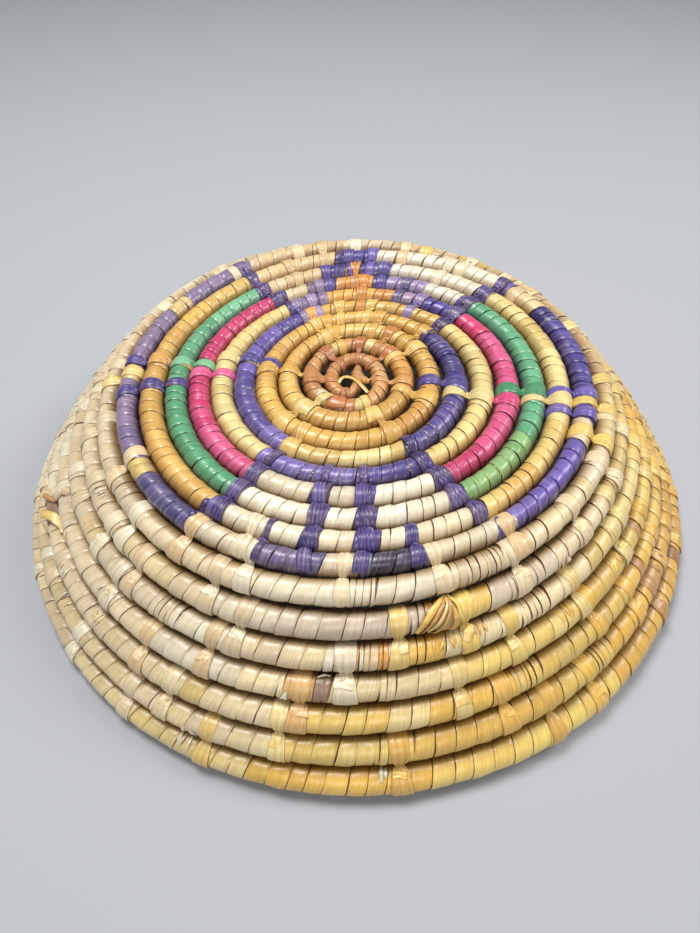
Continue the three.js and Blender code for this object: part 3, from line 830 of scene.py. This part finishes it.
def fill_stitches():
    """Natural rounds where the photo shows no stitches, or can't: as far apart as the ones seen."""
    for number in range(10, 17):
        seen = [turn_of(n, d) for n, d, _, _ in SEEN if n == number]
        at = number - 0.875 + rng.uniform(0.0, 0.03)
        radius = radius_at(number - 0.5)
        while at < min(number + 0.125, LAST_TURN - 1.02):
            clear = min(abs(at - s) for s in seen) * 2 * np.pi * radius
            degrees = -(at - number) * 360 - 90
            all_seen = number == 10 and SEEN_ROUND_10[0] < degrees < SEEN_ROUND_10[1]
            in_front = SEEN_FRONT[0] < degrees < SEEN_FRONT[1]
            if clear > CLEAR_OF_SEEN and not all_seen and not (in_front and rng.random() < 0.6):
                palette = palette_at(at + 1, rng.normal(0, 0.15))
                add_tied_stitch(number, degrees, palette, dict(width=rng.uniform(0.0058, 0.0082)))
            at += rng.uniform(0.034, 0.056) / (2 * np.pi * radius)


def add_bridges():
    """Short strips that hold the open rounds at the centre together."""
    for number, degrees, width, palette in (
            (1, -90, 0.0060, "caramel"), (1, -20, 0.0050, "caramel"), (2, 219, 0.0056, "caramel"),
            (2, 171, 0.0050, "caramel"), (2, 130, 0.0048, "caramel"), (2, 78, 0.0046, "toffee"),
            (2, 20, 0.0055, "yellow"), (2, -42, 0.0062, "yellow"), (2, -92, 0.0040, "honey"),
            (3, 121, 0.0040, "honey"), (3, 67, 0.0044, "honey")):
        add_stitch(strips_at(number + 1, degrees), turn_of(number, degrees), palette, width, waist=0.60,
                   fan=150, groove=0.60, lift=0.00036, skew=rng.normal(0, 0.0003), pleats=0.6)
    first = STRIPS[RUNS[0][0]]
    # The start of the coil is tied to the round beside it, and a thin strip loops over the hole.
    add_ribbon(first, [(1, 62, 60, 0.4), (1, 62, 20, 0.7), (2, 88, 165, 0.6), (2, 90, 120, 0.5)],
               0.0046, "caramel", 1.06, fold=0.2, shares=(1, 0.8, 0.8, 1))
    top = surface(1, 0, 90, 0)[0][2]
    upright = np.array([0.0, 0.0, 1.0])
    add_ribbon(first, [(np.array([x / 1000, y / 1000, top + z / 1000]), upright) for x, y, z in (
        (-9.6, -7.2, -0.6), (-8.0, -4.8, 0.3), (-5.9, -3.6, 0.2), (-3.0, -4.8, 0.5), (0.4, -8.6, 0.9),
        (4.6, -14.4, 0.2))], 0.0019, "amber", 1.05, fold=0.1)
    for _ in range(5):
        shift = rng.uniform(-8, 8)
        add_ribbon(first,
                   [(1, -22 + shift, 90, 0.4), (1, -16 + shift, 50, 0.9), (1, -10 + shift, 8, 0.5)],
                   rng.uniform(0.0012, 0.0022), rng.choice(["caramel", "toffee"]), rng.uniform(0.8, 1.0),
                   fold=0.3, roll=(-0.5, 0.5))
    for _ in range(3):
        shift = rng.uniform(-3, 3)
        add_ribbon(first,
                   [(2, -47 + shift, 128, 0.3), (2, -51 + shift, 96, 0.8), (2, -53 + shift, 62, 0.3)],
                   rng.uniform(0.0010, 0.0018), "cream", fold=0.2, roll=(-0.4, 0.4), shares=(0.5, 1, 0.5))


def add_twist(number, degrees, count, spread, palettes):
    """Twisted strands of a tie over the groove between a round and the next."""
    radius = radius_at(turn_of(number, degrees))
    for _ in range(count):
        near, far = np.degrees(np.clip(rng.normal(0, spread, 2), -0.0028, 0.0028) / radius)
        places = [(number, degrees + near, rng.uniform(105, 130), -0.2),
                  (number, degrees + 0.7 * near, 55, rng.uniform(0.5, 1.1)),
                  (number, degrees + 0.2 * (near + far), 8, rng.uniform(0.8, 1.8)),
                  (number + 1, degrees + 0.7 * far, 130, rng.uniform(0.5, 1.1)),
                  (number + 1, degrees + far, rng.uniform(60, 85), -0.2)]
        # Each strand is a darker or lighter copy of its palette, for painted shade and painted highlight on
        # the twist, and its edges are darkened as painted shade.
        add_ribbon(strips_at(number + 1, degrees), places, rng.uniform(0.0017, 0.0030),
                   rng.choice(palettes), rng.choice([0.55, 0.8, 1.1, 1.35]), fold=rng.uniform(0.1, 0.4),
                   roll=rng.normal(0, 0.4, 2), shares=(0.8, 1, 0.7, 1, 0.8), outline=0.9)


def add_corner_twists():
    """The twisted purple ties where the sectors of the star meet, and on the two columns in front."""
    for number, degrees in ((6, -32.6), (7, -32.8), (8, -33.0), (5, 25.8), (6, 27.8), (7, 27.6), (8, 29),
                            (5, 130), (6, 131.2), (7, 132.8), (8, 133.4), (9, 131.8), (6, 212.5),
                            (7, 215.8), (8, 219), (9, 219.6), (10, 219.2), (6, -11.4), (6, 1.9),
                            (7, -10.6), (7, 2.3), (8, -10.2), (8, 1.8)):
        add_twist(number, degrees + rng.normal(0, 0.3), 3, 0.0008, ["violet", "dusk", "navy"])
        add_cinch(number, degrees, "dusk", 2, (146, 172))
    add_twist(9, -37, 1, 0.0004, ["violet"])


def add_dashes():
    """Yellow threads of leaf that show in some slits between purple or green strips."""
    for number, degrees in ((6, -22), (6, -13), (6, -6), (5, -77), (6, -31), (5, 62), (5, 45), (5, 38),
                            (10, 12), (8, 42), (8, 38), (9, 33), (6, 20)):
        strips = strips_at(number, degrees)
        at = float(strips.slits[np.argmin(np.abs(strips.slits - s_of(turn_of(number, degrees))))])
        for phi in np.arange(48, 140, 13):
            ends = []
            for turned in (phi, phi + rng.uniform(5, 10)):
                turn = float(t_of(at + 0.0004 + 0.0055 * (90 - turned) / 360))
                ends.append((round(turn + (degrees_of(turn) + 90) / 360), degrees_of(turn), turned, 0.06))
            add_ribbon(strips, ends, 0.00045, "yellow", rng.uniform(0.7, 1.1))


def add_loose_leaf():
    """The folded knot on the wall in front, and the loose ends and frayed ties at the left."""
    knot = strips_at(12, 15)
    top = (12, 15.2, 164, 1.8)
    for places, width, palette, light, fold, roll, shares in (
            ([(12, 15.2, 132, 0.4), (12, 14.6, 96, 1.2), (12, 13.8, 52, 1.2), (12, 13.4, 14, 0.3)],
             0.0062, "brown", 1.0, 0.4, (0.0, 0.0), (0.4, 1, 1, 0.8)),
            ([top, (12, 13.0, 132, 2.2), (12, 10.8, 98, 2.0), (12, 9.4, 50, 0.5)],
             0.0026, "golden", 1.0, 0.25, (0.3, -0.3), (0.4, 1, 1, 0.7)),
            ([top, (12, 14.0, 128, 2.6), (12, 12.0, 92, 2.4), (12, 10.4, 40, 0.5)],
             0.0017, "deep", 0.95, 0.2, (-0.5, 0.4), (0.5, 1, 1, 0.7)),
            ([top, (12, 14.8, 126, 3.0), (12, 13.0, 88, 2.6), (12, 11.4, 34, 0.4)],
             0.0015, "straw", 0.98, 0.2, (0.4, -0.6), (0.5, 0.9, 1, 0.7)),
            ([top, (12, 15.4, 128, 2.2), (12, 14.4, 88, 2.2), (12, 12.6, 46, 1.4), (12, 11.6, 20, 0.3)],
             0.0019, "honey", 0.88, 0.3, (-0.5, 0.2), (0.5, 1, 1, 1, 0.7)),
            ([(12, 14.5, 142, 1.8), (12, 14.2, 126, 2.2), (12, 13.8, 112, 1.6)],
             0.0016, "mauve", 0.40, 0.0, (0.0, 0.0), (0.3, 1, 0.3)),
            ([(12, 15.9, 128, 0.8), (12, 16.2, 84, 1.6), (12, 15.4, 44, 1.8), (12, 14.4, 14, 0.4)],
             0.0030, "golden", 0.94, 0.35, (0.3, -0.3), (0.7, 1, 1, 0.8)),
            ([(12, 15.7, 164, 1.4), (12, 16.7, 126, 1.6), (12, 17.0, 82, 1.4), (12, 18.2, 20, 0.6)],
             0.0016, "golden", 1.05, 0.3, (0.0, 0.3), (1, 1, 1, 1))):
        add_ribbon(knot, places, width, palette, light, fold=fold, roll=roll, shares=shares)
    add_ribbon(strips_at(13, 18),
               [(13, 18.9, 148, 0.9), (13, 18.0, 128, 1.3), (13, 17.4, 100, 0.8)],
               0.0044, "straw", 1.04, fold=0.3, shares=(0.6, 0.9, 1))
    # The folds at the waist of the wide stitch in front, and the stitch's sliver of light leaf.
    add_cinch(13, -2.2, "cream", 4, (132, 158))
    add_ribbon(strips_at(14, -5),
               [(14, -6.2, 150, 0.3), (14, -5.2, 157, 0.9), (14, -4.2, 158, 0.3)],
               0.0015, "pale", 1.05, fold=0.2, shares=(0.3, 1, 0.3))
    left = strips_at(15, -70)
    add_ribbon(left,
               [(13, -68.6, 25, 0.3), (14, -70.2, 130, 0.9), (14, -71.2, 60, 1.2), (15, -73.0, 150, 1.8),
                (15, -74.8, 85, 2.0)],
               0.0050, "tan", fold=0.3, shares=(0.7, 1, 1, 1, 0.9))
    add_ribbon(left, [(15, -75.2, 75, 1.8), (15, -73.6, 105, 2.4), (15, -71.6, 140, 1.2)],
               0.0021, "brown", 1.05, fold=0.2, roll=(0.6, -0.2))
    add_ribbon(left,
               [(14, -60.6, 95, 0.5), (14, -62.0, 40, 1.0), (15, -65.0, 160, 1.4), (15, -68.2, 125, 3.0),
                (15, -69.6, 92, 3.4), (15, -68.8, 66, 2.2), (15, -67.4, 70, 0.7)],
               0.0050, "straw", fold=0.15, shares=(0.8, 1, 1, 1, 0.9, 0.8, 0.7))
    # Frayed or folded ends: round, degrees, phi, how many, spread in degrees, palette.
    for row in (
            "14 -45.2 118 7 1.6 pale, 13 6.6 146 4 1 cream, 13 14.6 112 5 1.6 golden, "
            "13 -52 122 4 1.4 cream, 12 -60 128 4 1.2 cream, 15 -57 110 3 1.5 cream, "
            "16 -53 140 3 1.4 cream, 14 -9.8 60 3 0.8 pale, 10 -20.8 110 3 0.5 pale, "
            "16 -24 60 3 0.8 pale, 10 33 60 3 1 cream, 14 36 130 4 1.2 golden, "
            "12 40 60 3 1 cream, 13 19.5 125 4 0.9 golden, 17 -24 130 3 1 pale, "
            "16 60 120 4 1.6 brown, 14 52 118 3 1.4 golden, 15 -45 120 3 1.2 sand, "
            "17 4 145 3 1 pale").split(","):
        *values, palette = row.split()
        number, degrees, phi, count, spread = (float(v) for v in values)
        strips = strips_at(number, degrees)
        for _ in range(int(count)):
            a = degrees + rng.normal(0, 0.8 * spread)
            b = a + rng.normal(0, 0.35)
            rise = rng.uniform(15, 30)
            add_ribbon(strips,
                       [(number, a, phi + rise, 0.15), (number, (a + b) / 2, phi, rng.uniform(0.3, 0.8)),
                        (number, b, phi - rise, 0.2)],
                       rng.uniform(0.0012, 0.0022), palette, rng.uniform(0.92, 1.06),
                       fold=rng.uniform(0.05, 0.3), roll=rng.normal(0, 0.35, 2), shares=(0.5, 1, 0.5))


# ---- materials

def feed(socket, value):
    """Puts a number or a colour on a socket, or links another node's output to it."""
    if isinstance(value, tuple):
        socket.default_value = value + (1,)
    elif isinstance(value, (int, float)):
        socket.default_value = value
    else:
        socket.id_data.links.new(value, socket)


# These add a node to the tree of their first socket, and return the node's output.
def math_node(kind, a, b, clamp=False):
    node = a.id_data.nodes.new("ShaderNodeMath")
    node.operation = kind
    node.use_clamp = clamp
    feed(node.inputs[0], a)
    feed(node.inputs[1], b)
    return node.outputs[0]


def times(a, b):
    return math_node("MULTIPLY", a, b)


def mix_colour(factor, a, b, kind="MIX"):
    node = factor.id_data.nodes.new("ShaderNodeMix")
    node.data_type = "RGBA"
    node.blend_type = kind
    for place, value in ((0, factor), (6, a), (7, b)):      # the sockets of a colour mix
        feed(node.inputs[place], value)
    return node.outputs[2]


def noise(vector, scale, detail, roughness, distortion=0.0):
    """Noise that is stretched by a scale for each axis."""
    mapping = vector.id_data.nodes.new("ShaderNodeMapping")
    mapping.inputs["Scale"].default_value = scale
    feed(mapping.inputs["Vector"], vector)
    node = vector.id_data.nodes.new("ShaderNodeTexNoise")
    node.inputs["Scale"].default_value = 1.0
    node.inputs["Detail"].default_value = detail
    node.inputs["Roughness"].default_value = roughness
    node.inputs["Distortion"].default_value = distortion
    feed(node.inputs["Vector"], mapping.outputs["Vector"])
    return node.outputs["Fac"]


def ramp(factor, low, high):
    node = factor.id_data.nodes.new("ShaderNodeMapRange")
    node.inputs["From Min"].default_value = low
    node.inputs["From Max"].default_value = high
    feed(node.inputs["Value"], factor)
    return node.outputs["Result"]


def new_material(name):
    material = bpy.data.materials.new(name)
    material.use_nodes = True
    return material, material.node_tree, material.node_tree.nodes["Principled BSDF"]


def add_bump(shader, height, distance):
    bump = shader.id_data.nodes.new("ShaderNodeBump")
    bump.inputs["Strength"].default_value = 0.6
    bump.inputs["Distance"].default_value = distance
    feed(bump.inputs["Height"], height)
    feed(shader.inputs["Normal"], bump.outputs["Normal"])


def leaf_material(name, streak_colour, fibre, blotch_colour, blotch, slit_and_shade_colour, roughness, pale=0.10):
    """Wrapped palm leaf: fibres along the strip, blotches of age, and dark slits between the strips, their
    own dark with painted shade.
    """
    material, tree, shader = new_material(name)
    leaf = tree.nodes.new("ShaderNodeVertexColor")
    leaf.layer_name = "leaf"
    uv = tree.nodes.new("ShaderNodeUVMap")
    uv.uv_map = "strip"
    edge = tree.nodes.new("ShaderNodeAttribute")
    edge.attribute_name = "edge"
    # UV is in centimetres: u across the strip, v along it.
    fine = noise(uv.outputs["UV"], (34, 0.9, 1), 3, 0.7)
    broad = noise(uv.outputs["UV"], (9, 0.35, 1), 3, 0.6)
    stain = noise(uv.outputs["UV"], (1.6, 1.1, 1), 5, 0.62, 0.4)
    specks = noise(uv.outputs["UV"], (10, 4, 1), 4, 0.7)
    thin_dark = times(ramp(fine, 0.56, 0.36), fibre)
    dark = mix_colour(thin_dark, leaf.outputs["Color"], streak_colour, "MULTIPLY")
    broad_dark = times(ramp(broad, 0.50, 0.32), 0.7 * fibre)
    darker = mix_colour(broad_dark, dark, streak_colour, "MULTIPLY")
    light_bands = times(ramp(broad, 0.54, 0.72), pale)
    banded = mix_colour(light_bands, darker, (0.95, 0.93, 0.88))
    blotches = times(ramp(stain, 0.50, 0.72), blotch)
    aged = mix_colour(blotches, banded, blotch_colour)
    spots = times(ramp(specks, 0.66, 0.78), 0.40)
    spotted = mix_colour(spots, aged, tuple(0.5 * c for c in blotch_colour))
    # The edge attribute mixes in the slit colour: the slits' own dark and painted shade in them and along
    # the edges of strips.
    slit_and_shade = times(ramp(edge.outputs["Fac"], 0.10, 0.60), 0.95)
    coloured = mix_colour(slit_and_shade, spotted, slit_and_shade_colour)
    feed(shader.inputs["Base Color"], coloured)
    rough = math_node("ADD", times(fine, 0.24), roughness - 0.12)
    feed(shader.inputs["Roughness"], math_node("ADD", rough, times(blotches, 0.15), clamp=True))
    shader.inputs["Specular IOR Level"].default_value = 0.55
    shader.inputs["Coat Weight"].default_value = 0.45
    shader.inputs["Coat Roughness"].default_value = 0.25
    add_bump(shader, math_node("ADD", times(fine, 0.5), times(broad, 1.2)), 0.00025)
    return material


# Slot, streaks along the fibres (colour, strength), blotches of age (colour, strength), slit colour
# (the slits' own dark with painted shade), roughness, and for some how much the pale bands show.
MATERIALS = {}
for slot, *looks in (
        ("natural", (0.60, 0.45, 0.28), 0.40, (0.52, 0.33, 0.15), 0.24, (0.12, 0.050, 0.018), 0.38),
        ("honey", (0.68, 0.45, 0.20), 0.40, (0.55, 0.27, 0.07), 0.26, (0.14, 0.052, 0.013), 0.36),
        ("yellow", (0.68, 0.48, 0.22), 0.38, (0.58, 0.36, 0.12), 0.22, (0.15, 0.060, 0.016), 0.36),
        ("caramel", (0.52, 0.32, 0.20), 0.42, (0.36, 0.15, 0.06), 0.34, (0.07, 0.024, 0.009), 0.34),
        ("purple", (0.40, 0.34, 0.52), 0.46, (0.36, 0.28, 0.42), 0.30, (0.008, 0.005, 0.014), 0.33, 0.22),
        ("pink", (0.58, 0.24, 0.32), 0.40, (0.58, 0.06, 0.15), 0.30, (0.045, 0.005, 0.012), 0.33, 0.14),
        ("green", (0.42, 0.60, 0.44), 0.40, (0.20, 0.42, 0.20), 0.22, (0.006, 0.022, 0.010), 0.34, 0.12)):
    MATERIALS[slot] = leaf_material("leaf_" + slot, *looks)


def stem_material():
    """The core bundle, which shows only at its ends and in the dark of the gaps."""
    material, tree, shader = new_material("stem_bundle")
    coordinates = tree.nodes.new("ShaderNodeTexCoord")
    grain = noise(coordinates.outputs["Object"], (900, 900, 900), 5, 0.6)
    feed(shader.inputs["Base Color"], mix_colour(grain, (0.22, 0.12, 0.05), (0.48, 0.33, 0.16)))
    shader.inputs["Roughness"].default_value = 0.75
    add_bump(shader, grain, 0.0005)
    return material


# ---- the basket

for name, first, last in RUNS:
    add_wraps(STRIPS[name], first, last)
for number, degrees, palette, changes in SEEN:
    add_tied_stitch(number, degrees, palette, changes)
fill_stitches()
add_bridges()
add_corner_twists()
add_dashes()
add_loose_leaf()

for name, strips in STRIPS.items():
    slot = name.split("_")[-1]
    piece = strips.object("wraps_" + name[6:], MATERIALS[slot])
    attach(piece, "root")
    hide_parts(name)

turns = np.linspace(VISIBLE_START + 0.01, LAST_TURN - 0.002, 1200)[:, None]
angles = np.linspace(0, 2 * np.pi, 13)[None, :]
CORE_SHARE, CORE_RIPPLE = 0.80, 0.03        # of the wrapped coil's size
rough = CORE_SHARE + CORE_RIPPLE * np.cos(7 * angles + 9 * turns)
bundle = Strips()
bundle.add(on_coil(turns + 0 * angles, angles, share=rough)[None], np.zeros(2), np.array([0.4, 0.3, 0.2]),
           np.zeros(1))
core = bundle.object("core_bundle", stem_material())
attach(core, "root")
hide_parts("core_coil")

# ---- floor, lamps and world

FLOOR_REACH = 6
FLOOR_COLOUR, FLOOR_ROUGHNESS = (0.45, 0.47, 0.51, 1), 0.9
SKY_COLOUR, SKY_STRENGTH = (0.93, 0.96, 1.0, 1), 0.20
BACKDROP_COLOUR = (0.72, 0.73, 0.76, 1)
floor_material, _, floor_shader = new_material("floor")
floor_shader.inputs["Base Color"].default_value = FLOOR_COLOUR
floor_shader.inputs["Roughness"].default_value = FLOOR_ROUGHNESS
floor_mesh = bpy.data.meshes.new("floor")
corners = [(x * FLOOR_REACH, y * FLOOR_REACH, 0) for x, y in ((-1, -1), (1, -1), (1, 1), (-1, 1))]
floor_mesh.from_pydata(corners, [], [(0, 1, 2, 3)])
floor_mesh.materials.append(floor_material)
floor = bpy.data.objects.new("floor", floor_mesh)
bpy.context.scene.collection.objects.link(floor)


def area_lamp(name, place, aim, size, power, colour):
    data = bpy.data.lights.new(name, "AREA")
    data.shape = "DISK"
    data.size = size
    data.energy = power
    data.color = colour
    lamp = bpy.data.objects.new(name, data)
    lamp.location = place
    lamp.rotation_euler = (Vector(aim) - Vector(place)).to_track_quat("-Z", "Y").to_euler()
    bpy.context.scene.collection.objects.link(lamp)


area_lamp("key", (-0.28, 0.22, 1.25), (0, 0, 0.03), 0.55, 12.8, (1.0, 0.98, 0.95))
area_lamp("side", (0.85, 0.25, 0.95), (0, 0, 0.03), 0.45, 6.2, (1.0, 0.97, 0.93))
area_lamp("front", (0.05, -1.10, 0.95), (0, 0, 0.02), 0.60, 4.6, (1.0, 0.98, 0.96))

world = bpy.data.worlds.new("world")
bpy.context.scene.world = world
world.use_nodes = True
tree = world.node_tree
background = tree.nodes["Background"]
background.inputs["Color"].default_value = SKY_COLOUR
background.inputs["Strength"].default_value = SKY_STRENGTH
# What the camera sees past the floor. The light above stays as it is.
seen_background = tree.nodes.new("ShaderNodeBackground")
seen_background.inputs["Color"].default_value = BACKDROP_COLOUR
seen_background.inputs["Strength"].default_value = 1.0
rays = tree.nodes.new("ShaderNodeLightPath")
mixer = tree.nodes.new("ShaderNodeMixShader")
feed(mixer.inputs[0], rays.outputs["Is Camera Ray"])
feed(mixer.inputs[1], background.outputs[0])
feed(mixer.inputs[2], seen_background.outputs[0])
feed(tree.nodes["World Output"].inputs["Surface"], mixer.outputs[0])

bpy.context.view_layer.update()
